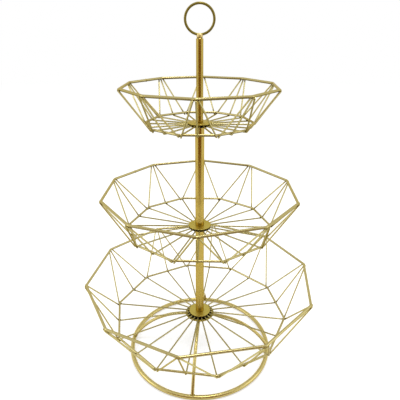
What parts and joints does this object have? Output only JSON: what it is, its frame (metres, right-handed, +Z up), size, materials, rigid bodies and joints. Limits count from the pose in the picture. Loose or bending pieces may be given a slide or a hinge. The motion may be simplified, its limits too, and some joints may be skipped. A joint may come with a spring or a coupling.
{
  "type": "tiered wire fruit basket stand",
  "caption": "Free-standing tiered fruit stand: open ten-sided wire baskets that turn on a central pole, with a round wire foot and a carrying ring on top.",
  "frame": {"origin": "on the surface that the stand rests on, at the centre of the base ring", "axes": "+Z up along the pole, -Y towards the front of the pictured view, +X to its right"},
  "size_m": [0.3206, 0.322, 0.4879],
  "materials": {
    "gold_wire": "satin gold lacquer on drawn steel wire",
    "gold_thin_wire": "satin gold lacquer on thin drawn steel wire",
    "gold_tube": "smoother satin gold lacquer on steel tube",
    "gold_plate": "satin gold lacquer on pressed or turned steel",
    "zinc_steel": "zinc-plated steel fasteners inside the pole and under the base plate"
  },
  "bodies": {
    "stand": {"base_ring": "gold_wire", "front_leg": "gold_wire", "right_leg": "gold_wire", "back_leg": "gold_wire", "left_leg": "gold_wire", "base_plate": "gold_plate", "bolt_washer": "zinc_steel", "base_bolt": "zinc_steel", "lower_tube": "gold_tube", "lower_tube_foot_insert": "zinc_steel", "lower_tube_head_insert": "zinc_steel", "middle_stud": "zinc_steel", "middle_tube": "gold_tube", "middle_tube_foot_insert": "zinc_steel", "middle_tube_head_insert": "zinc_steel", "upper_stud": "zinc_steel", "handle_tube": "gold_tube", "handle_tube_foot_insert": "zinc_steel", "handle_tube_head_insert": "zinc_steel", "carrying_ring": "gold_wire", "ring_collar": "gold_plate"},
    "bottom_basket": {"bottom_rim": "gold_wire", "bottom_floor_frame": "gold_wire", "bottom_centre_wires": "gold_thin_wire", "bottom_corner_wires": "gold_thin_wire", "bottom_short_wires": "gold_thin_wire", "bottom_hub_disc": "gold_plate", "bottom_hub_underplate": "gold_plate"},
    "middle_basket": {"middle_rim": "gold_wire", "middle_floor_frame": "gold_wire", "middle_centre_wires": "gold_thin_wire", "middle_corner_wires": "gold_thin_wire", "middle_short_wires": "gold_thin_wire", "middle_hub_disc": "gold_plate", "middle_hub_underplate": "gold_plate"},
    "top_basket": {"top_rim": "gold_wire", "top_floor_frame": "gold_wire", "top_centre_wires": "gold_thin_wire", "top_corner_wires": "gold_thin_wire", "top_short_wires": "gold_thin_wire", "top_hub_disc": "gold_plate", "top_hub_underplate": "gold_plate"}
  },
  "joints": [
    {"name": "bottom_basket_turn", "type": "hinge", "parent": "stand", "child": "bottom_basket", "pos_m": [0, 0, 0.0584], "axis": [0, 0, 1], "continuous": true},
    {"name": "middle_basket_turn", "type": "hinge", "parent": "stand", "child": "middle_basket", "pos_m": [0, 0, 0.2016], "axis": [0, 0, 1], "continuous": true},
    {"name": "top_basket_turn", "type": "hinge", "parent": "stand", "child": "top_basket", "pos_m": [0, 0, 0.3448], "axis": [0, 0, 1], "continuous": true}
  ]
}
